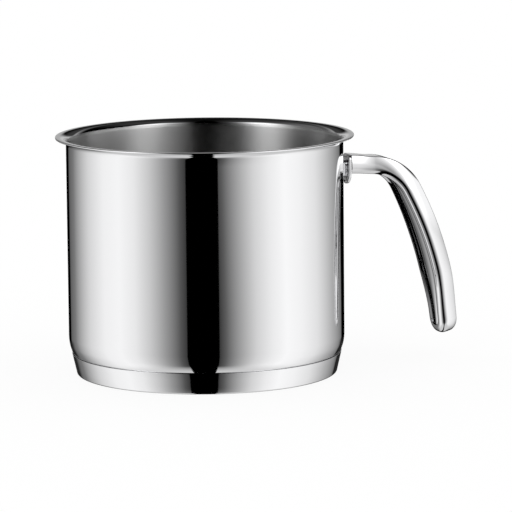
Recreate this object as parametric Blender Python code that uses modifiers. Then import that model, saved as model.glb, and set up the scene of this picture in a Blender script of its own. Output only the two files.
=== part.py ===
# Milk pan: a deep-drawn stainless steel body with a flared pouring rim, a capsule base round an
# aluminium disc, and a hollow handle of two pressed shells on a welded bracket.
# Metres, +Z up. The origin is on the pan's axis at the underside of the base, and the handle points
# along +X.

import math

import bmesh
import bpy
from mathutils import Vector

MM = 0.001
GAP = 0.3 * MM  # between neighbouring pieces
OVERRUN = 4 * MM  # how far a cutter reaches past what it cuts
MERGE = 0.01 * MM

# Pan body, one sheet
BODY_RADIUS = 70 * MM  # outside of the straight wall
BODY_HEIGHT = 121 * MM  # ground to the top of the rim
BODY_SHEET = 0.8 * MM
RIM_OVERHANG = 5.4 * MM  # of the lip, beyond the wall
FLARE_RADIUS = 3.3 * MM  # hollow under the rim
RIM_EDGE_ROUNDING = 0.25 * MM
BODY_CORNER_RADIUS = 7 * MM  # outside, between the wall and the floor

# Taper at the foot of the wall, shared by the body and the capsule
FOOT_SETBACK = 4 * MM  # from the wall to where the taper would meet the ground
TAPER_ANGLE = math.radians(13)  # from vertical
TAPER_BLEND_RADIUS = 31 * MM

# Capsule base
SEAM_HEIGHT = 10.8 * MM  # upper edge of the capsule
CAPSULE_SHEET = 0.6 * MM
CAPSULE_CORNER_RADIUS = 1.8 * MM
CORE_THICKNESS = 6.8 * MM
CORE_CORNER_RADIUS = 1 * MM
CORE_EDGE = 0.6 * MM  # least thickness of the disc's upturned edge

# Bracket between the wall and the handle
BRACKET_DROP = 1.5 * MM  # from the handle's upper face to the neck
BRACKET_HEIGHT = 9 * MM
BRACKET_WIDTH = 6.6 * MM
BRACKET_CORNER_RADIUS = 2.2 * MM
PAD_GROWTH = 1.5 * MM  # how far the weld pad stands out all round the neck
PAD_THICKNESS = 1.3 * MM

# End plate at the handle's root
PLATE_DISTANCE = 5.5 * MM  # from the wall to the plate
PLATE_THICKNESS = 1.4 * MM
PLATE_DROP = 0.3 * MM  # from the handle's upper face to the plate's top
PLATE_HEIGHT = 13.5 * MM
PLATE_WIDTH = 12.8 * MM
PLATE_TOP_CORNER_RADIUS = 2 * MM
PLATE_EDGE_ROUNDING = 0.3 * MM
PLATE_RECESS_DEPTH = 0.5 * MM  # on the side of the wall
PLATE_BORDER = 1 * MM  # raised edge round the recess

# Course of the handle, along its outer face
HANDLE_DROP = 15 * MM  # from the top of the rim to the handle's upper face
BAR_LENGTH = 12.5 * MM  # level stretch from the handle's root
BEND_RADIUS = 27 * MM
BEND_ANGLE = math.radians(62.7)
GRIP_RADIUS = 201 * MM
GRIP_LENGTH = 82.8 * MM

# Section of the handle
ROOT_DEPTH = 8.9 * MM  # outer face to the ridges of the lips
GRIP_DEPTH = 10.1 * MM
HANDLE_SHEET = 1 * MM
ROOT_WIDTH = 13 * MM
BEND_WIDTH = 22 * MM  # at the end of the bend
GRIP_WIDTH = 26 * MM
WIDENING_START = 4.2 * MM  # from the root, along the handle
GRIP_WIDEST = 73.5 * MM
GRIP_TAPER_START = 87 * MM
TIP_WIDTH = 18.4 * MM
TIP_CORNER_RADIUS = 7 * MM
OUTER_EDGE_RADIUS = 0.4 * MM
LIP_RADIUS = 1.9 * MM
LIP_WIDTH = 2.8 * MM  # from the flank to the lip's free edge
LIP_LEAN = math.radians(18)  # of the flank beside the lip, from upright, near the tip
ROOT_EDGE_LEAN = math.radians(20)  # of the flank beside the outer face, from upright
GRIP_EDGE_LEAN = math.radians(42)
END_FLAT = 0.15 * MM  # taken off the very tip

# Inner liner of the handle
LINER_SHEET = 0.8 * MM
LINER_SETBACK = 0.2 * MM  # below the ridges of the lips
LINER_LAND = 0.6 * MM  # flat edge beside each lip
LINER_SIDE_RUN = 0.9 * MM  # how far each side of the trough leans in
LINER_FILLET = 1.1 * MM
TROUGH_DEPTH = 2.7 * MM
ROOT_TROUGH_DEPTH = 1.2 * MM
TROUGH_END_DEPTH = 0.4 * MM
TROUGH_END_LENGTH = 7 * MM  # over which the trough rises to the tip

# Fineness of curves
TURN_STEPS = 60
ARC_SEGMENTS = 4
LIP_SEGMENTS = 4
FLANK_SEGMENTS = 3
EDGE_SEGMENTS = 1
CHIN_SEGMENTS = 16
RUN_STATIONS = 20
RUN_GATHERING = 1.15  # above 1, stations gather towards the root, where the handle bends and widens
TIP_STATIONS = 6
SEARCH_STEP = math.radians(1)
SEARCH_STEPS = 30
SHARP_ANGLE = math.radians(35)
BEVEL_ANGLE = math.radians(60)

# Worked out from the sizes above
RIM_RADIUS = BODY_RADIUS + RIM_OVERHANG
BASE_RADIUS = BODY_RADIUS - FOOT_SETBACK
TAPER_SLOPE = math.tan(TAPER_ANGLE)
BODY_UNDERSIDE = CAPSULE_SHEET + GAP + CORE_THICKNESS + GAP
SEAT_RADIUS = BODY_CORNER_RADIUS + GAP  # hollow of the base round the body's corner
HANDLE_TOP = BODY_HEIGHT - HANDLE_DROP
BRACKET_TOP = HANDLE_TOP - BRACKET_DROP
PLATE_TOP = HANDLE_TOP - PLATE_DROP
PLATE_NEAR = BODY_RADIUS + PLATE_DISTANCE
PLATE_FAR = PLATE_NEAR + PLATE_THICKNESS
HANDLE_ROOT = PLATE_FAR + GAP
BEND_LENGTH = BEND_RADIUS * BEND_ANGLE
BEND_END = BAR_LENGTH + BEND_LENGTH
HANDLE_LENGTH = BEND_END + GRIP_LENGTH


def arc(center, radius, start, end, segments=ARC_SEGMENTS):
    """Points round center from angle start to angle end."""
    angles = [start + (end - start) * i / segments for i in range(segments + 1)]
    place = Vector(center)
    return [place + radius * Vector((math.cos(a), math.sin(a))) for a in angles]


def fillet(before, corner, after, radius, segments=ARC_SEGMENTS):
    """Points of the arc that rounds a corner between two straight lines, and the arc's centre."""
    into, out = (before - corner).normalized(), (after - corner).normalized()
    half = into.angle(out) / 2
    middle = (into + out).normalized()
    center = corner + middle * (radius / math.sin(half))
    reach = radius / math.tan(half)
    first, last = corner + into * reach - center, corner + out * reach - center
    turn = first.angle_signed(last)
    start = math.atan2(first.y, first.x)
    # angle_signed is positive clockwise
    return arc(center, radius, start, start - turn, segments), center


def rounded(corners, closed=False, segments=ARC_SEGMENTS):
    """An outline through corners, each (x, y) or (x, y, radius of its rounding)."""
    places = [Vector(corner[:2]) for corner in corners]
    points = []
    for i, corner in enumerate(corners):
        is_end = not closed and i in (0, len(corners) - 1)
        if is_end or len(corner) < 3:
            points.append(places[i])
        else:
            after = places[(i + 1) % len(places)]
            points += fillet(places[i - 1], places[i], after, corner[2], segments)[0]
    return points


def smooth_step(x, start, end):
    t = min(max((x - start) / (end - start), 0), 1)
    return t * t * (3 - 2 * t)


def material(name, color, roughness):
    made = bpy.data.materials.new(name)
    made.use_nodes = True
    shader = made.node_tree.nodes["Principled BSDF"]
    shader.inputs["Base Color"].default_value = (*color, 1)
    shader.inputs["Metallic"].default_value = 1
    shader.inputs["Roughness"].default_value = roughness
    return made


def add_object(name, mesh, collection, finish):
    made = bpy.data.objects.new(name, mesh)
    collection.objects.link(made)
    if finish:
        mesh.materials.append(finish)
    return made


def shade_round(mesh):
    mesh.shade_smooth()
    mesh.set_sharp_from_angle(angle=SHARP_ANGLE)


def turned(name, profile, collection, finish):
    """A profile of (radius, height) points, its outer side running downwards, turned about Z."""
    mesh = bpy.data.meshes.new(name)
    points = [(point[0], 0, point[1]) for point in profile]
    mesh.from_pydata(points, [(i, i + 1) for i in range(len(points) - 1)], [])
    made = add_object(name, mesh, collection, finish)
    screw = made.modifiers.new("Turn", "SCREW")
    screw.axis = "Z"
    screw.steps = screw.render_steps = TURN_STEPS
    screw.use_merge_vertices = True
    screw.merge_threshold = MERGE
    screw.use_smooth_shade = True
    return made


def loft(name, rings, collection, finish):
    """A closed solid through rings of equally many points, with flat ends."""
    mesh = bpy.data.meshes.new(name)
    bm = bmesh.new()
    loops = [[bm.verts.new(point) for point in ring] for ring in rings]
    for ring, following in zip(loops, loops[1:]):
        for i in range(len(ring)):
            bm.faces.new((ring[i - 1], ring[i], following[i], following[i - 1]))
    bm.faces.new(loops[0])
    bm.faces.new(reversed(loops[-1]))
    bmesh.ops.recalc_face_normals(bm, faces=bm.faces)
    bm.to_mesh(mesh)
    bm.free()
    shade_round(mesh)
    return add_object(name, mesh, collection, finish)


def cut(target, cutter):
    cutter.hide_render = True
    cutter.display_type = "WIRE"
    boolean = target.modifiers.new("Cut " + cutter.name, "BOOLEAN")
    boolean.operation = "DIFFERENCE"
    boolean.object = cutter


def bevel_edges(target, width):
    bevel = target.modifiers.new("Edge", "BEVEL")
    bevel.width = width
    bevel.segments = 2
    bevel.limit_method = "ANGLE"
    bevel.angle_limit = BEVEL_ANGLE


def taper_radius(height):
    """Outside radius of the tapered foot of the wall at a height."""
    return BASE_RADIUS + height * TAPER_SLOPE


def body_corner_center():
    """Centre of the rounding between the taper and the body's underside."""
    corner = Vector((taper_radius(BODY_UNDERSIDE), BODY_UNDERSIDE))
    above = Vector((taper_radius(BODY_HEIGHT), BODY_HEIGHT))
    return fillet(above, corner, Vector((0, BODY_UNDERSIDE)), BODY_CORNER_RADIUS)[1]


def round_seat(start, direction, wall):
    """Angle on the hollow round the body's corner, from start on, that leaves wall outside it."""
    center = body_corner_center()
    angle = start
    while True:
        place = arc(center, SEAT_RADIUS, angle, angle)[0]
        left = taper_radius(place.y) - place.x
        if (left - wall) * direction <= 0:
            return angle
        angle += direction * SEARCH_STEP


def pan_shell(collection):
    underside_of_rim = BODY_HEIGHT - BODY_SHEET
    taper_top = (BODY_RADIUS - BASE_RADIUS) / TAPER_SLOPE
    profile = rounded(
        [
            (RIM_RADIUS, underside_of_rim),
            (BODY_RADIUS, underside_of_rim, FLARE_RADIUS),
            (BODY_RADIUS, taper_top, TAPER_BLEND_RADIUS),
            (taper_radius(BODY_UNDERSIDE), BODY_UNDERSIDE, BODY_CORNER_RADIUS),
            (0, BODY_UNDERSIDE),
        ]
    )
    finish = material("Deep-drawn stainless steel", (0.78, 0.78, 0.79), 0.12)
    shell = turned("pan_shell", profile, collection, finish)
    sheet = shell.modifiers.new("Sheet", "SOLIDIFY")
    sheet.thickness = BODY_SHEET
    sheet.offset = -1
    sheet.use_even_offset = True
    bevel_edges(shell, RIM_EDGE_ROUNDING)
    return shell


def base_capsule(collection):
    """A cap round the disc. Its inside follows the body's rounded corner at the seam."""
    center = body_corner_center()
    wall = CAPSULE_SHEET / math.cos(TAPER_ANGLE)  # measured level
    seam_angle = math.asin((SEAM_HEIGHT - center.y) / SEAT_RADIUS)
    # The inside leaves the body's corner where the capsule's own wall has its full thickness.
    inside = arc(center, SEAT_RADIUS, round_seat(seam_angle, -1, wall), seam_angle)
    profile = rounded(
        [
            (0, CAPSULE_SHEET),
            (taper_radius(CAPSULE_SHEET) - wall, CAPSULE_SHEET, CAPSULE_CORNER_RADIUS - CAPSULE_SHEET),
            tuple(inside[0]),
        ]
    )
    profile += inside[1:]
    profile += rounded(
        [
            (taper_radius(SEAM_HEIGHT), SEAM_HEIGHT),
            (BASE_RADIUS, 0, CAPSULE_CORNER_RADIUS),
            (0, 0),
        ]
    )
    finish = material("Pressed stainless steel cap", (0.76, 0.76, 0.77), 0.15)
    return turned("base_capsule", profile, collection, finish)


def base_core(collection):
    """The disc fills the room between the capsule and the body's underside."""
    wall = (CAPSULE_SHEET + GAP) / math.cos(TAPER_ANGLE)
    bottom = CAPSULE_SHEET + GAP
    # The upturned edge ends where it would be thinner than CORE_EDGE.
    start = -math.pi / 2
    top = arc(body_corner_center(), SEAT_RADIUS, start, round_seat(start, 1, wall + CORE_EDGE))
    edge_height = top[-1].y
    profile = [Vector((0, top[0].y))] + top
    profile += rounded(
        [
            (taper_radius(edge_height) - wall, edge_height),
            (taper_radius(bottom) - wall, bottom, CORE_CORNER_RADIUS),
            (0, bottom),
        ]
    )
    return turned("base_core", profile, collection, material("Aluminium disc", (0.8, 0.8, 0.8), 0.4))


def upright_ring(x, top, height, width, corner_radius):
    """A rounded rectangle across the handle's direction, at one distance from the pan's axis."""
    half = width / 2
    corners = [
        (half, top, corner_radius),
        (half, top - height, corner_radius),
        (-half, top - height, corner_radius),
        (-half, top, corner_radius),
    ]
    return [Vector((x, point.x, point.y)) for point in rounded(corners, closed=True)]


def wall_bracket(collection, cutters):
    """A neck with a weld pad, its foot hollowed to the round of the wall."""
    wall_face = BODY_RADIUS + GAP
    neck_end = PLATE_NEAR + PLATE_RECESS_DEPTH - GAP
    pad = (BRACKET_TOP + PAD_GROWTH, BRACKET_HEIGHT + 2 * PAD_GROWTH, BRACKET_WIDTH + 2 * PAD_GROWTH)
    neck = (BRACKET_TOP, BRACKET_HEIGHT, BRACKET_WIDTH)
    rings = [
        upright_ring(wall_face - OVERRUN, *pad, BRACKET_CORNER_RADIUS + PAD_GROWTH),
        upright_ring(wall_face + PAD_THICKNESS / 2, *pad, BRACKET_CORNER_RADIUS + PAD_GROWTH),
        upright_ring(wall_face + PAD_THICKNESS, *neck, BRACKET_CORNER_RADIUS),
        upright_ring(neck_end, *neck, BRACKET_CORNER_RADIUS),
    ]
    finish = material("Welded bracket steel", (0.6, 0.6, 0.61), 0.25)
    bracket = loft("wall_bracket", rings, collection, finish)
    round_of_wall = turned(
        "wall_cutter",
        [
            (0, BODY_HEIGHT),
            (wall_face, BODY_HEIGHT),
            (wall_face, SEAM_HEIGHT),
            (0, SEAM_HEIGHT),
        ],
        cutters,
        None,
    )
    cut(bracket, round_of_wall)
    return bracket


def plate_outline(inset):
    """The end plate's outline, drawn in by inset: square shoulders above, a round chin below."""
    half = PLATE_WIDTH / 2 - inset
    top, bottom = PLATE_TOP - inset, PLATE_TOP - PLATE_HEIGHT + inset
    shoulder = PLATE_TOP_CORNER_RADIUS - inset
    right = arc((half - shoulder, top - shoulder), shoulder, math.pi / 2, 0)
    chin = arc((0, bottom + half), half, 0, -math.pi, CHIN_SEGMENTS)
    left = arc((shoulder - half, top - shoulder), shoulder, math.pi, math.pi / 2)
    return right + chin + left


def handle_end_plate(collection, cutters):
    def slab(inset, near, far):
        outline = plate_outline(inset)
        return [[Vector((x, point.x, point.y)) for point in outline] for x in (near, far)]

    finish = material("Pressed end plate", (0.72, 0.72, 0.73), 0.12)
    plate = loft("handle_end_plate", slab(0, PLATE_NEAR, PLATE_FAR), collection, finish)
    recess = slab(PLATE_BORDER, PLATE_NEAR - OVERRUN, PLATE_NEAR + PLATE_RECESS_DEPTH)
    cut(plate, loft("recess_cutter", recess, cutters, None))
    bevel_edges(plate, PLATE_EDGE_ROUNDING)
    return plate


def course(s):
    """Place on the handle's outer face and outward normal, at a distance s from the root."""
    if s <= BAR_LENGTH:
        return Vector((HANDLE_ROOT + s, 0, HANDLE_TOP)), Vector((0, 0, 1))
    bend_start = Vector((HANDLE_ROOT + BAR_LENGTH, 0, HANDLE_TOP))
    turn = min((s - BAR_LENGTH) / BEND_RADIUS, BEND_ANGLE)
    normal = Vector((math.sin(turn), 0, math.cos(turn)))
    place = bend_start + (normal - Vector((0, 0, 1))) * BEND_RADIUS
    if turn < BEND_ANGLE:
        return place, normal
    turn += (s - BAR_LENGTH - BEND_LENGTH) / GRIP_RADIUS
    grip_normal = Vector((math.sin(turn), 0, math.cos(turn)))
    return place + (grip_normal - normal) * GRIP_RADIUS, grip_normal


def half_width(s):
    """Half of the handle's width, without the rounding of its tip."""
    root = ROOT_WIDTH / 2
    width = root + (BEND_WIDTH / 2 - root) * smooth_step(s, WIDENING_START, BEND_END)
    width += (GRIP_WIDTH - BEND_WIDTH) / 2 * smooth_step(s, BEND_END - BEND_LENGTH / 2, GRIP_WIDEST)
    taper = smooth_step(s, GRIP_TAPER_START, HANDLE_LENGTH + TIP_CORNER_RADIUS)
    return width - (GRIP_WIDTH - TIP_WIDTH) / 2 * taper


def end_rounding(s, inset, radius):
    """How much the rounded end takes off, at s, of an outline drawn in by inset."""
    left = HANDLE_LENGTH - inset - s
    reach = radius - inset
    if left >= reach:
        return 0
    return reach - math.sqrt(max(reach * reach - (reach - left) ** 2, 0))


def plan_half_width(s, inset):
    """Half of the width at s of the handle's plan drawn in by inset, round tip included."""
    return half_width(s) - inset - end_rounding(s, inset, TIP_CORNER_RADIUS)


def stations(start, inset):
    """Distances along the handle, closer together in the bend and at the rounded tip."""
    end = HANDLE_LENGTH - inset
    tip_reach = TIP_CORNER_RADIUS - inset
    run_end = end - tip_reach
    run = [i / RUN_STATIONS for i in range(RUN_STATIONS)]
    places = [start + (run_end - start) * t**RUN_GATHERING for t in run]
    steps = [math.pi / 2 * i / TIP_STATIONS for i in range(TIP_STATIONS + 1)]
    return places + [run_end + tip_reach * math.sin(step) for step in steps]


def section_ring(s, outline):
    """Places an outline of (sideways, depth) points across the handle at s."""
    place, normal = course(max(s, 0))
    place = place + Vector((min(s, 0), 0, 0))
    return [place + Vector((0, point[0], 0)) - normal * point[1] for point in outline]


def depth_at(s):
    """Outer face to the ridges of the lips."""
    return ROOT_DEPTH + (GRIP_DEPTH - ROOT_DEPTH) * smooth_step(s, 0, BEND_END)


def side_profile(s):
    """The section's side at s, as a function of its lean: how far in, and how deep, that place is.

    A round lip, a flatter flank and a sharp outer edge follow each other without a kink. The lean
    runs from -90 degrees at the lip's ridge to 90 degrees at the outer face.
    """
    lip_lean = LIP_LEAN * smooth_step(s, BAR_LENGTH, GRIP_TAPER_START)
    edge_lean = ROOT_EDGE_LEAN + (GRIP_EDGE_LEAN - ROOT_EDGE_LEAN) * smooth_step(s, BAR_LENGTH, BEND_END)
    widest = depth_at(s) - LIP_RADIUS
    flank_depth = widest - LIP_RADIUS * math.sin(lip_lean)
    edge_depth = OUTER_EDGE_RADIUS * (1 - math.sin(edge_lean))
    flank_radius = (flank_depth - edge_depth) / (math.sin(edge_lean) - math.sin(lip_lean))

    def place(lean, inset=0):
        inward = inset + (LIP_RADIUS - inset) * (1 - math.cos(min(lean, lip_lean)))
        deep = widest - (LIP_RADIUS - inset) * math.sin(min(lean, lip_lean))
        if lean > lip_lean:
            to = min(lean, edge_lean)
            inward += (flank_radius - inset) * (math.cos(lip_lean) - math.cos(to))
            deep -= (flank_radius - inset) * (math.sin(to) - math.sin(lip_lean))
        if lean > edge_lean:
            inward += OUTER_EDGE_RADIUS * (math.cos(edge_lean) - math.cos(lean))
            deep -= OUTER_EDGE_RADIUS * (math.sin(lean) - math.sin(edge_lean))
        return inward, deep

    return place, lip_lean, edge_lean


def lean_where(reached, start, end):
    """The lean between start and end from which on reached(lean) is true, or end."""
    for _ in range(SEARCH_STEPS):
        middle = (start + end) / 2
        if reached(middle):
            end = middle
        else:
            start = middle
    return end


def even_steps(start, end, segments):
    return [start + (end - start) * i / segments for i in range(segments + 1)]


def body_section(s):
    """The handle's whole section at s: outer face, flanks and the ridges of the lips."""
    place, lip_lean, edge_lean = side_profile(s)
    left = HANDLE_LENGTH - s
    upright = math.pi / 2
    if left >= place(upright)[0]:
        leans = even_steps(-upright, lip_lean, LIP_SEGMENTS)
        leans += even_steps(lip_lean, edge_lean, FLANK_SEGMENTS)[1:]
        leans += even_steps(edge_lean, upright, EDGE_SEGMENTS)[1:]
    else:
        bottom = -lean_where(lambda lean: place(-lean)[0] >= left, 0, upright)
        top = lean_where(lambda lean: place(lean)[0] >= left, 0, upright)
        leans = even_steps(bottom, top, LIP_SEGMENTS + FLANK_SEGMENTS + EDGE_SEGMENTS)
    points = [place(lean) for lean in reversed(leans)]
    right = [Vector((plan_half_width(s, inward), deep)) for inward, deep in points]
    return right + [Vector((-point.x, point.y)) for point in reversed(right)]


def hollow_section(s):
    """The room inside the sheet, with the slot between the lips."""
    place, lip_lean, edge_lean = side_profile(s)
    left = HANDLE_LENGTH - s
    slot = plan_half_width(min(s, HANDLE_LENGTH - LIP_WIDTH), LIP_WIDTH)
    below = depth_at(s) - HANDLE_SHEET

    def is_outside(lean):
        inward, deep = place(lean, HANDLE_SHEET)
        return inward >= left or deep <= HANDLE_SHEET

    top = lean_where(is_outside, lip_lean, edge_lean)
    leans = even_steps(top, lip_lean, FLANK_SEGMENTS)
    points = [place(lean, HANDLE_SHEET) for lean in leans]
    right = [Vector((plan_half_width(s, inward), deep)) for inward, deep in points]
    right += [Vector((right[-1].x, below)), Vector((slot, below)), Vector((slot, depth_at(s) + OVERRUN))]
    return right + [Vector((-point.x, point.y)) for point in reversed(right)]


def handle_outer_shell(collection, cutters):
    finish = material("Pressed handle steel", (0.82, 0.82, 0.83), 0.1)
    rings = [section_ring(s, body_section(s)) for s in stations(0, 0)[:-1] + [HANDLE_LENGTH - END_FLAT]]
    shell = loft("handle_outer_shell", rings, collection, finish)
    hollow_stations = stations(-OVERRUN, LIP_WIDTH)
    hollow = [section_ring(s, hollow_section(s)) for s in hollow_stations]
    cut(shell, loft("hollow_cutter", hollow, cutters, None))
    return shell


def trough_depth(s):
    """Depth of the liner's trough below its edges."""
    deep = ROOT_TROUGH_DEPTH + (TROUGH_DEPTH - ROOT_TROUGH_DEPTH) * smooth_step(s, BAR_LENGTH, BEND_END)
    end = HANDLE_LENGTH - LIP_WIDTH - GAP
    return deep + (TROUGH_END_DEPTH - deep) * smooth_step(s, end - TROUGH_END_LENGTH, end)


def liner_section(s):
    """A sheet dished away from the hand, its edges level beside the lips."""
    half = plan_half_width(s, LIP_WIDTH + GAP)
    edge = depth_at(s) - LINER_SETBACK
    depth = trough_depth(s)
    fillet_radius = LINER_FILLET * depth / TROUGH_DEPTH
    side = [
        (half, edge),
        (half - LINER_LAND, edge, fillet_radius / 2),
        (half - LINER_LAND - LINER_SIDE_RUN, edge - depth, fillet_radius),
        (0, edge - depth),
    ]
    hand_side = rounded(side)
    hand_side += [Vector((-point.x, point.y)) for point in reversed(hand_side[:-1])]
    hidden_side = [Vector((point.x, point.y - LINER_SHEET)) for point in reversed(hand_side)]
    return hand_side + hidden_side


def handle_inner_liner(collection):
    rings = [section_ring(s, liner_section(s)) for s in stations(0, LIP_WIDTH + GAP)]
    finish = material("Pressed liner steel", (0.7, 0.7, 0.71), 0.12)
    return loft("handle_inner_liner", rings, collection, finish)


def main():
    for leftover in list(bpy.data.objects):
        bpy.data.objects.remove(leftover)
    parts = bpy.data.collections.new("Milk pan")
    cutters = bpy.data.collections.new("Cutters")
    for collection in (parts, cutters):
        bpy.context.scene.collection.children.link(collection)
    pan_shell(parts)
    base_core(parts)
    base_capsule(parts)
    wall_bracket(parts, cutters)
    handle_end_plate(parts, cutters)
    handle_outer_shell(parts, cutters)
    handle_inner_liner(parts)


main()
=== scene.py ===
import math

import bmesh
import bpy
from mathutils import Matrix, Vector


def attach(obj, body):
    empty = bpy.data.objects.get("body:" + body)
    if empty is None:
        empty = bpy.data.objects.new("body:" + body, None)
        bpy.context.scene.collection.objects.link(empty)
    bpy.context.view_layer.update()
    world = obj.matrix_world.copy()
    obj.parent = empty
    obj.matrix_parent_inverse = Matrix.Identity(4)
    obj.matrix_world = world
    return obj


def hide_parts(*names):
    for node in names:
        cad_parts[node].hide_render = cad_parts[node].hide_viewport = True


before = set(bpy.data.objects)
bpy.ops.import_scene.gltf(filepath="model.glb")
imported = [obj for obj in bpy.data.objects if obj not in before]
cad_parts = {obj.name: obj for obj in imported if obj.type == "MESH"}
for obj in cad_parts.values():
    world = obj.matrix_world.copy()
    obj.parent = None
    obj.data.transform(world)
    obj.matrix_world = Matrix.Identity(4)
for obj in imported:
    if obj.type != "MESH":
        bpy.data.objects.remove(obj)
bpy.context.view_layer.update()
print("frame loaded:", ", ".join(sorted(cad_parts)))

mm = 0.001
gap = 0.3  # mm, between neighbouring pieces
touching = 1e-3  # mm, two places nearer than this are one
merging = 1e-4  # mm, doubles nearer than this are merged
cutting = 1e-5  # mm, a vertex nearer than this to a cut lies on it
square = 0.999  # a face whose normal has this share along an axis faces along it


# Small helpers

def toLinear(hexColor):
    channels = [int(hexColor[i:i + 2], 16) / 255 for i in (1, 3, 5)]
    return tuple(c / 12.92 if c <= 0.04045 else ((c + 0.055) / 1.055) ** 2.4 for c in channels) + (1,)


def addNode(tree, kind, settings=None, **inputs):
    # inputs go by the socket's name, or by its number as i0, i1 and so on
    node = tree.nodes.new(kind)
    for name, value in (settings or {}).items():
        setattr(node, name, value)
    for name, value in inputs.items():
        socket = node.inputs[int(name[1:]) if name[0] == "i" and name[1:].isdigit() else name.replace("_", " ")]
        if isinstance(value, bpy.types.NodeSocket):
            tree.links.new(value, socket)
        else:
            socket.default_value = value
    return node


def smoothStep(x, start, end):
    t = min(max((x - start) / (end - start), 0), 1)
    return t * t * (3 - 2 * t)


def bevelEdges(bm, edges, width, segments):
    bmesh.ops.bevel(bm, geom=list(edges), offset=width, offset_type="OFFSET", segments=segments,
                    profile=0.5, affect="EDGES", material=-1, clamp_overlap=True)


def roundVertex(bm, vertex, radius, segments):
    # rounds an outline's corner, whose two edges lie either side of it
    into, out = [(edge.other_vert(vertex).co - vertex.co) for edge in vertex.link_edges]
    reach = radius / math.tan(into.angle(out) / 2)
    bmesh.ops.bevel(bm, geom=[vertex], offset=reach, offset_type="OFFSET", segments=segments,
                    profile=0.5, affect="VERTICES", material=-1, clamp_overlap=True)


def finishPiece(bm, name, materials, nodes):
    # from mm to m, and into the scene
    bmesh.ops.scale(bm, vec=(mm, mm, mm), verts=bm.verts)
    mesh = bpy.data.meshes.new(name)
    for face in bm.faces:
        face.smooth = True
    bm.to_mesh(mesh)
    bm.free()
    piece = bpy.data.objects.new(name, mesh)
    bpy.context.scene.collection.objects.link(piece)
    for finish in materials:
        mesh.materials.append(finish)
    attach(piece, "root")
    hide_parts(*nodes)
    return piece


# Finishes

surface = dict(patch=18, patchDetail=4.0, grainDetail=3.0)  # patch is the mm across an area of even wear


def makeMetal(name, color, roughness, spread, grain, depth, stretch, anisotropic=0.0, turn=0.0):
    # grain and depth are the grain's size and height in mm, spread how much the wear changes the roughness
    material = bpy.data.materials.new(name)
    material.use_nodes = True
    tree = material.node_tree
    shader = tree.nodes["Principled BSDF"]
    place = addNode(tree, "ShaderNodeTexCoord").outputs["Object"]
    stretched = addNode(tree, "ShaderNodeMapping", Vector=place, Scale=stretch).outputs["Vector"]
    wear = addNode(tree, "ShaderNodeTexNoise", Vector=place, Scale=1 / (surface["patch"] * mm),
                   Detail=surface["patchDetail"])
    rough = addNode(tree, "ShaderNodeMapRange", Value=wear.outputs["Fac"],
                    i3=roughness - spread, i4=roughness + spread)
    grains = addNode(tree, "ShaderNodeTexNoise", Vector=stretched, Scale=1 / (grain * mm),
                     Detail=surface["grainDetail"])
    bump = addNode(tree, "ShaderNodeBump", Height=grains.outputs["Fac"], Distance=depth * mm, Strength=1.0)
    tree.links.new(rough.outputs["Result"], shader.inputs["Roughness"])
    tree.links.new(bump.outputs["Normal"], shader.inputs["Normal"])
    shader.inputs["Base Color"].default_value = toLinear(color)
    shader.inputs["Metallic"].default_value = 1.0
    if anisotropic:
        around = addNode(tree, "ShaderNodeTangent", {"direction_type": "RADIAL", "axis": "Z"})
        tree.links.new(around.outputs["Tangent"], shader.inputs["Tangent"])
        shader.inputs["Anisotropic"].default_value = anisotropic
        shader.inputs["Anisotropic Rotation"].default_value = turn
    return material


# 18/10 stainless steel buffed to a mirror: clear reflections, with the faintest waviness of the drawn sheet
mirrorSteel = makeMetal("mirror polished stainless steel", "#ECECED", roughness=0.04, spread=0.01, grain=30,
                        depth=0.004, stretch=(1, 1, 0.25))
# the same steel inside, rubbed round and round with a fine abrasive: soft reflections that spread up and down
satinSteel = makeMetal("satin stainless steel", "#D2D2D2", roughness=0.3, spread=0.015, grain=0.6, depth=0.0,
                       stretch=(1, 1, 6), anisotropic=1.0, turn=0.25)
# turned on the underside, its rings too fine to see: a dull sheen with a little grain
turnedSteel = makeMetal("turned stainless steel", "#D6D6D8", roughness=0.25, spread=0.03, grain=0.8, depth=0.004,
                        stretch=(1, 1, 1))
# rolled aluminium, as cut from the sheet: duller than the steel, with fine lines along the roll
rolledAluminium = makeMetal("rolled aluminium", "#DBDCDD", roughness=0.38, spread=0.04, grain=0.5, depth=0.006,
                            stretch=(1, 0.1, 1))
print("finishes made")


# Pan body: a drawn sheet, turned from its section

# mm and degrees; inward and downward bound the normals of the satin faces
pan = dict(wallRadius=70, height=121, sheet=0.8, lipRadius=75.4, lipEdge=0.34, flareRadius=3.3, polishedLip=2.4,
           underside=8.0, cornerRadius=7, seamPlace=(67.93, 10.8), seamBlendPlace=12.85, seamBlend=18, footRadius=66,
           footAngle=13, footBlend=31, footInset=2.11, cornerEase=0.1, steps=384, longest=3.4, arcSegments=14,
           inward=0.02, downward=-0.3)


def footRadiusAt(z):
    return pan["footRadius"] + z * math.tan(math.radians(pan["footAngle"]))


def shiftedPath(path, distance):
    # the path moved to its left, with the radii of its corners to match
    shifted = []
    for i, (x, z, radius) in enumerate(path):
        here = Vector((x, z))
        before = (here - Vector(path[i - 1][:2])).normalized() if i else None
        after = (Vector(path[i + 1][:2]) - here).normalized() if i + 1 < len(path) else None
        before, after = before or after, after or before
        leftBefore, leftAfter = Vector((-before.y, before.x)), Vector((-after.y, after.x))
        middle = (leftBefore + leftAfter).normalized()
        turn = before.x * after.y - before.y * after.x
        place = here + middle * distance / middle.dot(leftBefore)
        shifted.append((place.x, place.y, radius - math.copysign(distance, turn) if radius else 0))
    return shifted


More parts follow.
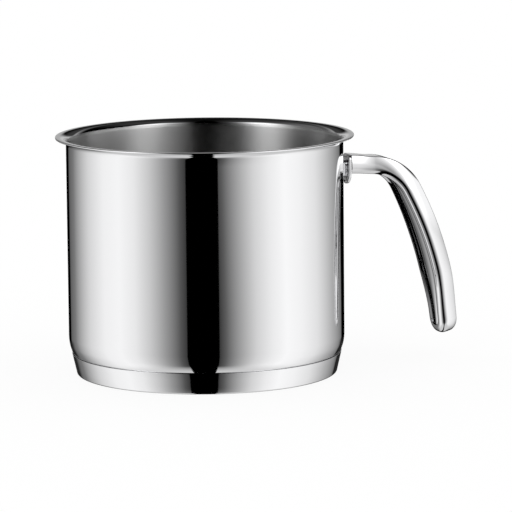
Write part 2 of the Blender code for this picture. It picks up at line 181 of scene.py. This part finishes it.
def turnSection(corners, steps, longest, arcSegments):
    # corners are (radius, height, rounding) in mm, round the section
    bm = bmesh.new()
    vertices = [bm.verts.new((x, 0, z)) for x, z, _ in corners]
    for first, second in zip(vertices, vertices[1:]):
        bm.edges.new((first, second))
    for vertex, (_, _, rounding) in zip(list(vertices), corners):
        if rounding:
            roundVertex(bm, vertex, rounding, arcSegments)
    for edge in list(bm.edges):
        cuts = int(edge.calc_length() / longest)
        if cuts:
            bmesh.ops.subdivide_edges(bm, edges=[edge], cuts=cuts)
    bmesh.ops.spin(bm, geom=bm.verts[:] + bm.edges[:], cent=(0, 0, 0), axis=(0, 0, 1),
                   angle=math.tau, steps=steps, use_merge=True)
    bmesh.ops.remove_doubles(bm, verts=bm.verts, dist=merging)
    bmesh.ops.recalc_face_normals(bm, faces=bm.faces)
    return bm


taperTop = (pan["wallRadius"] - pan["footRadius"]) / math.tan(math.radians(pan["footAngle"]))
plain = [
    (0, pan["underside"], 0),
    (footRadiusAt(pan["underside"]), pan["underside"], pan["cornerRadius"]),
    (pan["wallRadius"], taperTop, pan["footBlend"]),
    (pan["wallRadius"], pan["height"] - pan["sheet"], pan["flareRadius"]),
    (pan["lipRadius"], pan["height"] - pan["sheet"], 0),
]
# outside, the sheet turns in a little above the seam
outside = [
    plain[0],
    (pan["seamPlace"][0] - pan["footInset"], pan["underside"], pan["cornerRadius"] - pan["cornerEase"]),
    (*pan["seamPlace"], 0),
    (footRadiusAt(pan["seamBlendPlace"]), pan["seamBlendPlace"], pan["seamBlend"]),
] + plain[2:]
inside = shiftedPath(plain, pan["sheet"])
section = outside[:-1] + [(*outside[-1][:2], pan["lipEdge"]), (*inside[-1][:2], pan["lipEdge"])] + inside[-2::-1]
bm = turnSection(section, pan["steps"], pan["longest"], pan["arcSegments"])
satinTop = pan["height"] - pan["polishedLip"]
for face in bm.faces:
    # satin where the sheet faces the axis or up, below the polished lip
    middle = face.calc_center_median()
    facesAxis = face.normal.dot(Vector((middle.x, middle.y, 0)).normalized()) < pan["inward"]
    if facesAxis and face.normal.z > pan["downward"] and middle.z < satinTop:
        face.material_index = 1
finishPiece(bm, "pan_body", [mirrorSteel, satinSteel], ["pan_shell"])
print("pan body made")


# Capsule: the pressed cap round the base's disc

capsule = dict(seam=10.8, sheet=0.6, cornerRadius=1.0, edge=0.24, edgeRounding=0.1, hollowTop=10.1, arcSegments=8,
               downward=-0.98)
wallLevel = capsule["sheet"] / math.cos(math.radians(pan["footAngle"]))
section = [
    (0, 0, 0),
    (pan["footRadius"], 0, capsule["cornerRadius"]),
    (footRadiusAt(capsule["seam"]), capsule["seam"], capsule["edgeRounding"]),
    (footRadiusAt(capsule["seam"]) - capsule["edge"], capsule["seam"], 0),
    (footRadiusAt(capsule["hollowTop"]) - wallLevel, capsule["hollowTop"], 0),
    (footRadiusAt(capsule["sheet"]) - wallLevel, capsule["sheet"], capsule["cornerRadius"] - capsule["sheet"]),
    (0, capsule["sheet"], 0),
]
bm = turnSection(section, pan["steps"], pan["longest"], capsule["arcSegments"])
for face in bm.faces:
    if face.normal.z < capsule["downward"]:
        face.material_index = 1
finishPiece(bm, "base_cap", [mirrorSteel, turnedSteel], ["base_capsule"])
# the disc between the cap and the pan stays as it is in the frame, and only gets its finish
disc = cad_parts["base_core"].data
disc.materials.clear()
disc.materials.append(rolledAluminium)
print("base made")


# Handle: a pressed outer shell and a liner, modelled flat and then bent along the handle's course

# a lean is in degrees at the root and on the grip, then where along the course its change starts and ends
handle = dict(root=77.2, top=106.0, barLength=12.1, bendRadius=27, bendAngle=62.7, gripRadius=201, gripLength=82.8,
              rootWidth=13, bendWidth=22, gripWidth=26, widening=4.2, widest=73.5, taperStart=87, tipWidth=18.4,
              tipCorner=8.4, outerEdge=0.4, lipRadius=2.9, lipWidth=4.3, rootDepth=8.9, gripDepth=10.1,
              sheet=1.0, edgeSupport=0.3, lipLean=(0, 19, 12, 82), edgeLean=(20, 42, 12, 37), rootRise=1.3,
              riseEnd=13, riseBelow=0.4, endLean=0.45, endRound=2.4, cornerSegments=16, edgeSegments=10,
              lipSegments=8, barCuts=8, bendCuts=48, gripCuts=40, tipClear=0.2, flankCuts=8, flankClear=1,
              lipCuts=(0.5, 0.35, 0.2))
bendLength = handle["bendRadius"] * math.radians(handle["bendAngle"])
bendEnd = handle["barLength"] + bendLength
handleLength = bendEnd + handle["gripLength"]


def coursePlace(s):
    # place on the outer face and outward direction, at s mm from the root
    start = Vector((handle["root"] + min(s, handle["barLength"]), 0, handle["top"]))
    turn = min(max(s - handle["barLength"], 0) / handle["bendRadius"], math.radians(handle["bendAngle"]))
    outward = Vector((math.sin(turn), 0, math.cos(turn)))
    place = start + (outward - Vector((0, 0, 1))) * handle["bendRadius"]
    if s > bendEnd:
        turn += (s - bendEnd) / handle["gripRadius"]
        onward = Vector((math.sin(turn), 0, math.cos(turn)))
        return place + (onward - outward) * handle["gripRadius"], onward
    return place, outward


def halfWidth(s):
    root, bend, grip = handle["rootWidth"] / 2, handle["bendWidth"] / 2, handle["gripWidth"] / 2
    width = root + (bend - root) * smoothStep(s, handle["widening"], bendEnd)
    width += (grip - bend) * smoothStep(s, bendEnd - bendLength / 2, handle["widest"])
    narrowing = smoothStep(s, handle["taperStart"], handleLength - handle["tipCorner"])
    return width - (grip - handle["tipWidth"] / 2) * narrowing


def depthAt(s):
    return handle["rootDepth"] + (handle["gripDepth"] - handle["rootDepth"]) * smoothStep(s, 0, bendEnd)


def stationCuts():
    # places along the course, closest together in the bend
    bar, bend, grip = handle["barCuts"], handle["bendCuts"], handle["gripCuts"]
    cuts = [handle["barLength"] * i / bar for i in range(1, bar + 1)]
    cuts += [handle["barLength"] + bendLength * i / bend for i in range(1, bend + 1)]
    run = handle["gripLength"] - handle["tipCorner"] - handle["tipClear"]
    return cuts + [bendEnd + run * i / grip for i in range(1, grip + 1)]


def cutAcross(bm, direction, places):
    for place in places:
        bmesh.ops.bisect_plane(bm, geom=bm.verts[:] + bm.edges[:] + bm.faces[:], dist=cutting,
                               plane_co=Vector(direction) * place, plane_no=direction)


def flatOutline(length, halfAcross, cornerRadius):
    # a face from the root to a rounded tip
    bm = bmesh.new()
    bmesh.ops.create_grid(bm, x_segments=1, y_segments=1, size=0.5)
    bmesh.ops.translate(bm, vec=(0.5, 0, 0), verts=bm.verts)
    bmesh.ops.scale(bm, vec=(length, 2 * halfAcross, 1), verts=bm.verts)
    for vertex in [v for v in bm.verts if v.co.x > length / 2]:
        roundVertex(bm, vertex, cornerRadius, handle["cornerSegments"])
    return bm


def bendHandle(bm, levelAt):
    # s runs along X, y across, and z downwards from the outer face
    for vertex in bm.verts:
        s, y, z = vertex.co
        place, outward = coursePlace(s)
        level = levelAt(s, z)
        rise = handle["rootRise"] * (1 - smoothStep(s, 0, handle["riseEnd"]))
        rise *= 1 + (1 - handle["riseBelow"]) * level / depthAt(s)
        vertex.co = place + Vector((0, y, rise)) + outward * level


def atLevel(edge, level):
    return all(abs(v.co.z - level) < touching for v in edge.verts)


def notRoot(edge):
    return any(v.co.x > touching for v in edge.verts)


tipHalf = handle["tipWidth"] / 2
depth = handle["rootDepth"]
bm = flatOutline(handleLength, tipHalf, handle["tipCorner"])
extruded = bmesh.ops.extrude_face_region(bm, geom=bm.faces[:])
bmesh.ops.translate(bm, vec=(0, 0, -depth),
                    verts=[g for g in extruded["geom"] if isinstance(g, bmesh.types.BMVert)])
bmesh.ops.recalc_face_normals(bm, faces=bm.faces)
rootFace = [f for f in bm.faces if all(v.co.x < touching for v in f.verts)]
bmesh.ops.delete(bm, geom=rootFace, context="FACES_ONLY")
outerEdges = [e for e in bm.edges if atLevel(e, 0) and notRoot(e)]
bevelEdges(bm, outerEdges, handle["outerEdge"], handle["edgeSegments"])
lipEdges = [e for e in bm.edges if atLevel(e, -depth) and notRoot(e)]
bevelEdges(bm, lipEdges, handle["lipRadius"], handle["lipSegments"])
handSide = [f for f in bm.faces if f.normal.z < -square]
bmesh.ops.inset_region(bm, faces=handSide, thickness=handle["lipWidth"] - handle["lipRadius"], use_boundary=False)
bmesh.ops.delete(bm, geom=handSide, context="FACES")
outerFace = [f for f in bm.faces if f.normal.z > square]
bmesh.ops.inset_region(bm, faces=outerFace, thickness=handle["edgeSupport"], use_boundary=False)
lip = handle["lipRadius"]
lipLevel = depth - lip
levels = [handle["outerEdge"] + handle["edgeSupport"], lipLevel] + [lipLevel - above for above in handle["lipCuts"]]
levels += [handle["outerEdge"] + (lipLevel - handle["flankClear"] - handle["outerEdge"]) * share / handle["flankCuts"]
           for share in range(1, handle["flankCuts"] + 1)]
cutAcross(bm, (0, 0, -1), sorted(levels))
cutAcross(bm, (1, 0, 0), stationCuts())


def lean(name, s):
    # the flank's lean from upright, in radians, at s
    low, high, start, end = handle[name]
    return math.radians(low + (high - low) * smoothStep(s, start, end))


def flankDrop(s, below):
    # how far the flank lies inside its widest place: the lip's round up to the first tilt, then a flatter arc
    first, last = lean("lipLean", s), lean("edgeLean", s)
    joint = lipLevel - lip * math.sin(first)
    if below >= lipLevel:
        return 0
    if below >= joint:
        return lip - math.sqrt(lip ** 2 - (lipLevel - below) ** 2)
    radius = joint / (math.sin(last) - math.sin(first))
    reach = radius * math.sin(first) + joint - below
    return lip * (1 - math.cos(first)) + radius * math.cos(first) - math.sqrt(radius ** 2 - reach ** 2)


def endRounding(below):
    # the tip's outer edge is rounder than the flanks'
    short = max(handle["endRound"] - below, 0)
    return handle["endRound"] - math.sqrt(handle["endRound"] ** 2 - short ** 2)


cornerStart = handleLength - handle["tipCorner"]
for vertex in bm.verts:
    s, y, z = vertex.co
    side = math.copysign(1, y)
    away = Vector((max(s - cornerStart, 0), max(abs(y) - tipHalf + handle["tipCorner"], 0)))
    away = away.normalized() * flankDrop(s, -z)
    atEnd = min(max(s - cornerStart, 0) / handle["tipCorner"], 1)
    shortening = away.x * (handle["endLean"] if -z < lipLevel else 1) + atEnd * endRounding(-z)
    spread = halfWidth(min(s, cornerStart)) - tipHalf
    vertex.co = (s - shortening, y + side * (spread - away.y), z)
bendHandle(bm, lambda s, z: z * depthAt(s) / depth)
outerShell = finishPiece(bm, "handle_shell", [mirrorSteel], ["handle_outer_shell"])

# the trough is as deep as its three values say on the grip, at the root and at the tip, and its floor is raised
liner = dict(sheet=0.8, setback=0.05, land=1.0, sideRun=0.6, trough=1.8, rootTrough=1.2, endTrough=1.5, endLength=7,
             landFillet=0.3, floorFillet=1.4, landSegments=4, floorSegments=6, raised=1.0,
             floorCuts=(-0.75, -0.5, -0.25, 0, 0.25, 0.5, 0.75))
linerInset = handle["lipWidth"] + gap
linerHalf = tipHalf - linerInset
linerLength = handleLength - linerInset
bm = flatOutline(linerLength, linerHalf, handle["tipCorner"] - linerInset)
bmesh.ops.reverse_faces(bm, faces=bm.faces[:])
floorFace = bm.faces[:]
bmesh.ops.inset_region(bm, faces=floorFace, thickness=liner["land"], use_boundary=False)
bmesh.ops.inset_region(bm, faces=floorFace, thickness=liner["sideRun"], depth=-liner["trough"], use_boundary=False)
floorEdges = [e for f in floorFace for e in f.edges if notRoot(e)]
bevelEdges(bm, floorEdges, liner["floorFillet"], liner["floorSegments"])
landEdges = [e for e in bm.edges if notRoot(e) and atLevel(e, 0) and len(e.link_faces) == 2
             and max(f.calc_center_median().z for f in e.link_faces) > touching]
bevelEdges(bm, landEdges, liner["landFillet"], liner["landSegments"])
floorHalf = linerHalf - liner["land"] - liner["sideRun"]
cutAcross(bm, (0, 1, 0), [floorHalf * share for share in liner["floorCuts"]])
cutAcross(bm, (1, 0, 0), [cut for cut in stationCuts() if cut < linerLength - handle["tipCorner"] + linerInset])


def troughAt(s):
    deep = liner["rootTrough"] + (liner["trough"] - liner["rootTrough"]) * smoothStep(s, handle["barLength"], bendEnd)
    return deep + (liner["endTrough"] - deep) * smoothStep(s, linerLength - liner["endLength"], linerLength)


for vertex in bm.verts:
    s, y, z = vertex.co
    share = troughAt(s) / liner["trough"]
    if z > liner["trough"] - touching:
        z -= liner["raised"] * max(1 - (y / floorHalf) ** 2, 0)
    spread = halfWidth(min(s, cornerStart)) - tipHalf
    y += spread * max(min(y / floorHalf, 1), -1)
    vertex.co = (s, y, z * share)
bendHandle(bm, lambda s, z: z - depthAt(s) + liner["setback"])
innerLiner = finishPiece(bm, "handle_liner", [mirrorSteel], ["handle_inner_liner"])

sheetEdge = dict(width=0.15, segments=2, angle=60)
for piece, sheet in ((outerShell, handle["sheet"]), (innerLiner, liner["sheet"])):
    # the pressed surface gets its thickness, and its cut edges are eased
    wall = piece.modifiers.new("Sheet", "SOLIDIFY")
    wall.thickness = sheet * mm
    wall.offset = -1
    wall.use_even_offset = True
    rounding = piece.modifiers.new("Edges", "BEVEL")
    rounding.width = sheetEdge["width"] * mm
    rounding.segments = sheetEdge["segments"]
    rounding.limit_method = "ANGLE"
    rounding.angle_limit = math.radians(sheetEdge["angle"])
    rounding.harden_normals = True
print("handle made")


# End plate and the welded neck between it and the wall

plate = dict(near=75.5, thickness=1.4, rise=1.0, height=14.8, width=12.8, shoulder=2, footClear=0.01, edge=0.3,
             border=0.9, recess=0.5, recessRun=0.25, cornerSegments=12, edgeSegments=4, sharp=60)
plateTop = handle["top"] + plate["rise"]


def uprightOutline(width, height, top, topRadius, lowRadius):
    # a face across the handle's direction, facing the wall
    bm = bmesh.new()
    bmesh.ops.create_grid(bm, x_segments=1, y_segments=1, size=0.5)
    bmesh.ops.rotate(bm, cent=(0, 0, 0), matrix=Matrix.Rotation(-math.pi / 2, 3, "Y"), verts=bm.verts)
    bmesh.ops.scale(bm, vec=(1, width, height), verts=bm.verts)
    bmesh.ops.translate(bm, vec=(0, 0, top - height / 2), verts=bm.verts)
    middle = top - height / 2
    for vertex in bm.verts[:]:
        roundVertex(bm, vertex, topRadius if vertex.co.z > middle else lowRadius, plate["cornerSegments"])
    return bm


footRound = plate["width"] / 2 - plate["footClear"]  # just less than a half circle, so that its ends don't meet
bm = uprightOutline(plate["width"], plate["height"], plateTop, plate["shoulder"], footRound)
bmesh.ops.translate(bm, vec=(plate["near"], 0, 0), verts=bm.verts)
extruded = bmesh.ops.extrude_face_region(bm, geom=bm.faces[:])
bmesh.ops.translate(bm, vec=(plate["thickness"], 0, 0),
                    verts=[g for g in extruded["geom"] if isinstance(g, bmesh.types.BMVert)])
bmesh.ops.recalc_face_normals(bm, faces=bm.faces)
rims = [e for e in bm.edges if e.calc_face_angle(0) > math.radians(plate["sharp"])]
bevelEdges(bm, rims, plate["edge"], plate["edgeSegments"])
wallSide = [f for f in bm.faces if f.normal.x < -square]
bmesh.ops.inset_region(bm, faces=wallSide, thickness=plate["border"] - plate["edge"])
bmesh.ops.inset_region(bm, faces=wallSide, thickness=plate["recessRun"], depth=-plate["recess"])
bmesh.ops.inset_region(bm, faces=wallSide, thickness=plate["recessRun"])
finishPiece(bm, "end_plate", [mirrorSteel], ["handle_end_plate"])

# foot lists the weld pad's rings: how far from the wall, and how much wider than the neck
bracket = dict(drop=1.5, height=9, width=6.6, corner=2.2, clear=gap,
               foot=((0.0, 1.5), (0.12, 1.35), (0.35, 0.95), (0.7, 0.5), (1.2, 0.15), (1.9, 0.0)))
bracketTop = handle["top"] - bracket["drop"]
bm = uprightOutline(bracket["width"], bracket["height"], bracketTop, bracket["corner"], bracket["corner"])
ringMiddle = bracketTop - bracket["height"] / 2
neckEnd = plate["near"] + plate["recess"] - gap


def placeRing(vertices, away, growth, before):
    # growth is how far the ring spreads past the neck, and before is that of the ring it was drawn from
    for vertex in vertices:
        y = vertex.co.y * (bracket["width"] + 2 * growth) / (bracket["width"] + 2 * before)
        z = (vertex.co.z - ringMiddle) * (bracket["height"] + 2 * growth) / (bracket["height"] + 2 * before)
        wall = math.sqrt((pan["wallRadius"] + bracket["clear"]) ** 2 - y * y)
        vertex.co = (neckEnd if away is None else wall + away, y, z + ringMiddle)


placeRing(bm.verts, *bracket["foot"][0], 0)
faces, before = bm.faces[:], bracket["foot"][0][1]
for ring, (away, growth) in enumerate(bracket["foot"][1:] + ((None, 0.0),)):
    extruded = bmesh.ops.extrude_face_region(bm, geom=faces)
    if ring:
        # only the first face, against the wall, stays
        bmesh.ops.delete(bm, geom=[f for f in faces if f.is_valid], context="FACES_ONLY")
    faces = [g for g in extruded["geom"] if isinstance(g, bmesh.types.BMFace)]
    placeRing([g for g in extruded["geom"] if isinstance(g, bmesh.types.BMVert)], away, growth, before)
    before = growth
bmesh.ops.recalc_face_normals(bm, faces=bm.faces)
finishPiece(bm, "welded_neck", [mirrorSteel], ["wall_bracket"])
print("root of the handle made")


# Studio

view = dict(azimuth=-18.5, elevation=8.64, roll=0.54, distance=2.0177, aimHeight=0.06,  # degrees and metres
            focal=3980, aimAcross=50.1, aimUp=-2.4, frame=512)  # pixels of the frame
# the tent only has directions: a fade is a pair, where it starts and ends along one of the axes, from -1 to 1
studio = dict(tentRadius=5.0, tentSegments=(48, 24), tentLevel=1.12, gapLeft=-16, gapRight=10.5, slotMiddle=-0.02,
              slotHalf=0.1, slotTop=-0.5, panelLean=0.9, leanFrom=9, edgeSoftness=5, aloft=(0.05, 0.2),
              behind=(-0.6, -0.9), raised=(-0.02, 0.06), backWall=0.5, edgeBehind=(-0.8, -0.92),
              belowPanels=(-0.17, -0.22), shade=0.02, topSides=(0.6, 0.95), topBehind=(0.1, 0.25),
              ceilingFade=(0.05, 0.35), ceiling=(0.003, 0.04), down=(-0.6, -0.85), ground=0.62,
              floorRadius=6.0, floorSegments=64, floorGlow=0.88)

tent = bpy.data.objects.new("light_tent", bpy.data.meshes.new("light_tent"))
bpy.context.scene.collection.objects.link(tent)
bm = bmesh.new()
segments, rings = studio["tentSegments"]
bmesh.ops.create_uvsphere(bm, u_segments=segments, v_segments=rings, radius=studio["tentRadius"])
bm.to_mesh(tent.data)
bm.free()
tentMaterial = bpy.data.materials.new("light tent")
tentMaterial.use_nodes = True
tree = tentMaterial.node_tree
tree.nodes.clear()
place = addNode(tree, "ShaderNodeTexCoord").outputs["Object"]
direction = addNode(tree, "ShaderNodeVectorMath", {"operation": "NORMALIZE"}, i0=place).outputs["Vector"]
turned = addNode(tree, "ShaderNodeMapping", Vector=direction, Rotation=(0, 0, math.radians(90 - view["azimuth"])))
around = addNode(tree, "ShaderNodeTexGradient", {"gradient_type": "RADIAL"}, Vector=turned.outputs["Vector"])
height = addNode(tree, "ShaderNodeSeparateXYZ", Vector=direction).outputs["Z"]
sideways = addNode(tree, "ShaderNodeSeparateXYZ", Vector=turned.outputs["Vector"])
# the panel on the right leans over: the higher, the nearer it reaches to the camera
elevation = addNode(tree, "ShaderNodeMath", {"operation": "ARCSINE"}, i0=height)
leaning = addNode(tree, "ShaderNodeMath", {"operation": "MULTIPLY_ADD"}, i0=elevation.outputs["Value"],
                  i1=studio["panelLean"] / math.tau,
                  i2=studio["panelLean"] * math.radians(studio["leanFrom"]) / math.tau)
leaningUp = addNode(tree, "ShaderNodeMath", {"operation": "MAXIMUM"}, i0=leaning.outputs["Value"], i1=0.0)
onRight = addNode(tree, "ShaderNodeMath", {"operation": "GREATER_THAN"}, i0=sideways.outputs["Y"], i1=0.0)
panelPlace = addNode(tree, "ShaderNodeMath", {"operation": "MULTIPLY_ADD"}, i0=leaningUp.outputs["Value"],
                     i1=onRight.outputs["Value"], i2=around.outputs["Fac"])


def lightTable(place, levels):
    # levels are (azimuth from the camera in degrees, to its right, and brightness)
    ramp = addNode(tree, "ShaderNodeValToRGB", Fac=place)
    ramp.color_ramp.interpolation = "LINEAR"
    stops = ramp.color_ramp.elements
    while len(stops) < len(levels):
        stops.new(0.5)
    for stop, (azimuth, level) in zip(stops, levels):
        stop.position = 0.5 + azimuth / 360
        stop.color = grey(level)
    return ramp.outputs["Color"]


lowPanels = [(-180, 0), (-156, 0), (-155.5, 0.1), (-141, 0.19), (-128, 0.42), (-113, 0.69), (-93, 0.92), (-76, 0.97),
             (-61, 0.86), (-47, 0.61), (-34, 0.33), (-21, 0.09), (-16, 0.04), (10.5, 0.04), (16, 0.11), (29, 0.39),
             (42, 0.68), (56, 0.88), (70, 1), (86, 0.94), (105, 0.79), (128, 0.45), (152, 0.16), (152.5, 0), (180, 0)]
highPanels = [(-180, 0), (-150, 0), (-125, 0.12), (-105, 0.12), (-92, 0.2), (-80, 0.7), (-70, 1.5), (-60, 2.1),
              (-50, 1.7), (-42, 0.9), (-34, 0.3), (-25, 0.05), (-16, 0), (10.5, 0), (16, 0.1), (28, 0.6),
              (36, 0.95), (46, 1.7), (56, 1.7), (70, 1.2), (80, 1.0), (110, 0.95), (118, 0.6), (128, 0), (180, 0)]
# the high panels' lower and upper edge, in degrees above the horizon: the right one hangs aslant
panelFoot = [(-180, 0), (45, 0), (60, 3), (76, 4), (95, 3), (110, 0), (180, 0)]
panelHead = [(-180, 60), (56, 60), (66, 50), (76, 38), (95, 24), (110, 18), (125, 13), (180, 12)]
smooth = {"interpolation_type": "SMOOTHSTEP"}


def pastEdge(edge):
    # 0 below the edge, 1 above it
    place = lightTable(around.outputs["Fac"], [(azimuth, math.radians(rise)) for azimuth, rise in edge])
    past = addNode(tree, "ShaderNodeMath", {"operation": "SUBTRACT"}, i0=elevation.outputs["Value"], i1=place)
    soft = math.radians(studio["edgeSoftness"])
    fade = addNode(tree, "ShaderNodeMapRange", smooth, Value=past.outputs["Value"], i1=-soft, i2=soft)
    return fade.outputs["Result"]


def between(pair):
    # a fade's sockets, from the place where it starts to the place where it ends
    return dict(i1=pair[0], i2=pair[1])


def grey(level):
    return (level, level, level, 1)


inBand = addNode(tree, "ShaderNodeMath", {"operation": "SUBTRACT"}, i0=pastEdge(panelFoot), i1=pastEdge(panelHead))
hung = addNode(tree, "ShaderNodeVectorMath", {"operation": "SCALE"}, i0=lightTable(around.outputs["Fac"], highPanels),
               Scale=inBand.outputs["Value"])
aloft = addNode(tree, "ShaderNodeMapRange", smooth, Value=height, **between(studio["aloft"]))
panels = addNode(tree, "ShaderNodeMix", {"data_type": "RGBA"}, i0=aloft.outputs["Result"],
                 i6=lightTable(panelPlace.outputs["Value"], lowPanels), i7=hung.outputs["Vector"])
# behind the pan it is dim below the panels, and a grey wall stands above
edgeBehind = addNode(tree, "ShaderNodeMapRange", smooth, Value=sideways.outputs["X"], **between(studio["edgeBehind"]))
belowPanels = addNode(tree, "ShaderNodeMapRange", smooth, Value=height, **between(studio["belowPanels"]))
shading = addNode(tree, "ShaderNodeMath", {"operation": "MULTIPLY"}, i0=edgeBehind.outputs["Result"],
                  i1=belowPanels.outputs["Result"])
shaded = addNode(tree, "ShaderNodeMix", {"data_type": "RGBA"}, i0=shading.outputs["Value"], i6=panels.outputs[2],
                 i7=grey(studio["shade"]))
behind = addNode(tree, "ShaderNodeMapRange", smooth, Value=sideways.outputs["X"], **between(studio["behind"]))
raised = addNode(tree, "ShaderNodeMapRange", smooth, Value=height, **between(studio["raised"]))
backWall = addNode(tree, "ShaderNodeMath", {"operation": "MULTIPLY"}, i0=behind.outputs["Result"],
                   i1=raised.outputs["Result"])
sides = addNode(tree, "ShaderNodeMix", {"data_type": "RGBA"}, i0=backWall.outputs["Value"], i6=shaded.outputs[2],
                i7=grey(studio["backWall"]))
# the ceiling is nearly dark, and comes lower behind the pan
topEdge = addNode(tree, "ShaderNodeMapRange", smooth, Value=behind.outputs["Result"],
                  i3=studio["topSides"][0], i4=studio["topBehind"][0])
topEnd = addNode(tree, "ShaderNodeMapRange", smooth, Value=behind.outputs["Result"],
                 i3=studio["topSides"][1], i4=studio["topBehind"][1])
up = addNode(tree, "ShaderNodeMapRange", smooth, Value=height, i1=topEdge.outputs["Result"],
             i2=topEnd.outputs["Result"])
aside = addNode(tree, "ShaderNodeMath", {"operation": "ABSOLUTE"}, i0=sideways.outputs["Y"])
ceiling = addNode(tree, "ShaderNodeMapRange", smooth, Value=aside.outputs["Value"], **between(studio["ceilingFade"]),
                  i3=studio["ceiling"][0], i4=studio["ceiling"][1])
capped = addNode(tree, "ShaderNodeMix", {"data_type": "RGBA"}, i0=up.outputs["Result"], i6=sides.outputs[2],
                 i7=ceiling.outputs["Result"])
down = addNode(tree, "ShaderNodeMapRange", smooth, Value=height, **between(studio["down"]))
grounded = addNode(tree, "ShaderNodeMix", {"data_type": "RGBA"}, i0=down.outputs["Result"], i6=capped.outputs[2],
                   i7=grey(studio["ground"]))
# the opening that the camera looks through, in turns round the tent, and the dark slot in the ground below it
gapMiddle = 0.5 + (studio["gapRight"] + studio["gapLeft"]) / (2 * 360)
gapHalf = (studio["gapRight"] - studio["gapLeft"]) / (2 * 360)
opening = addNode(tree, "ShaderNodeMath", {"operation": "COMPARE"}, i0=around.outputs["Fac"], i1=gapMiddle,
                  i2=gapHalf)
slot = addNode(tree, "ShaderNodeMath", {"operation": "COMPARE"}, i0=sideways.outputs["Y"], i1=studio["slotMiddle"],
               i2=studio["slotHalf"])
low = addNode(tree, "ShaderNodeMath", {"operation": "LESS_THAN"}, i0=height, i1=studio["slotTop"])
slotLow = addNode(tree, "ShaderNodeMath", {"operation": "MULTIPLY"}, i0=slot.outputs["Value"],
                  i1=low.outputs["Value"])
dark = addNode(tree, "ShaderNodeMath", {"operation": "MAXIMUM"}, i0=opening.outputs["Value"],
               i1=slotLow.outputs["Value"])
level = addNode(tree, "ShaderNodeMath", {"operation": "MULTIPLY_ADD"}, i0=dark.outputs["Value"],
                i1=-studio["tentLevel"], i2=studio["tentLevel"])
glow = addNode(tree, "ShaderNodeEmission", Color=grounded.outputs[2], Strength=level.outputs["Value"])
addNode(tree, "ShaderNodeOutputMaterial", Surface=glow.outputs["Emission"])
tent.data.materials.append(tentMaterial)
tent.visible_camera = tent.visible_diffuse = tent.visible_shadow = False  # only the steel's reflections see it

floor = bpy.data.objects.new("floor", bpy.data.meshes.new("floor"))
bpy.context.scene.collection.objects.link(floor)
bm = bmesh.new()
bmesh.ops.create_circle(bm, cap_ends=True, segments=studio["floorSegments"], radius=studio["floorRadius"])
bm.to_mesh(floor.data)
bm.free()
floorMaterial = bpy.data.materials.new("white sweep")
floorMaterial.use_nodes = True
tree = floorMaterial.node_tree
tree.nodes.clear()
matt = addNode(tree, "ShaderNodeBsdfDiffuse", Color=grey(1))
lit = addNode(tree, "ShaderNodeEmission", Color=grey(1), Strength=1.0)
both = addNode(tree, "ShaderNodeMixShader", Fac=studio["floorGlow"], i1=matt.outputs["BSDF"],
               i2=lit.outputs["Emission"])
addNode(tree, "ShaderNodeOutputMaterial", Surface=both.outputs["Shader"])
floor.data.materials.append(floorMaterial)
floor.visible_glossy = False

world = bpy.data.worlds.new("white surround")
bpy.context.scene.world = world
world.use_nodes = True
surround = world.node_tree.nodes["Background"]
surround.inputs["Color"].default_value = grey(1)
surround.inputs["Strength"].default_value = 1.0
bpy.context.scene.view_settings.view_transform = "Standard"
print("studio made")


# Camera

camera = bpy.data.objects.new("camera", bpy.data.cameras.new("camera"))
bpy.context.scene.collection.objects.link(camera)
bpy.context.scene.camera = camera
focal = view["focal"]
camera.data.lens = camera.data.sensor_width * focal / view["frame"]
turn, rise = math.radians(view["azimuth"]), math.radians(view["elevation"])
back = Vector((math.sin(turn) * math.cos(rise), -math.cos(turn) * math.cos(rise), math.sin(rise)))
right = Vector((math.cos(turn), math.sin(turn), 0))
upward = right.cross(-back)
aim = (-back + right * view["aimAcross"] / focal + upward * view["aimUp"] / focal).normalized()
right = aim.cross(Vector((0, 0, 1))).normalized()
right = Matrix.Rotation(math.radians(view["roll"]), 3, aim) @ right
upward = right.cross(aim)
stand = Vector((0, 0, view["aimHeight"])) + back * view["distance"]
camera.matrix_world = Matrix.Translation(stand) @ Matrix((right, upward, -aim)).transposed().to_4x4()
print("camera placed")
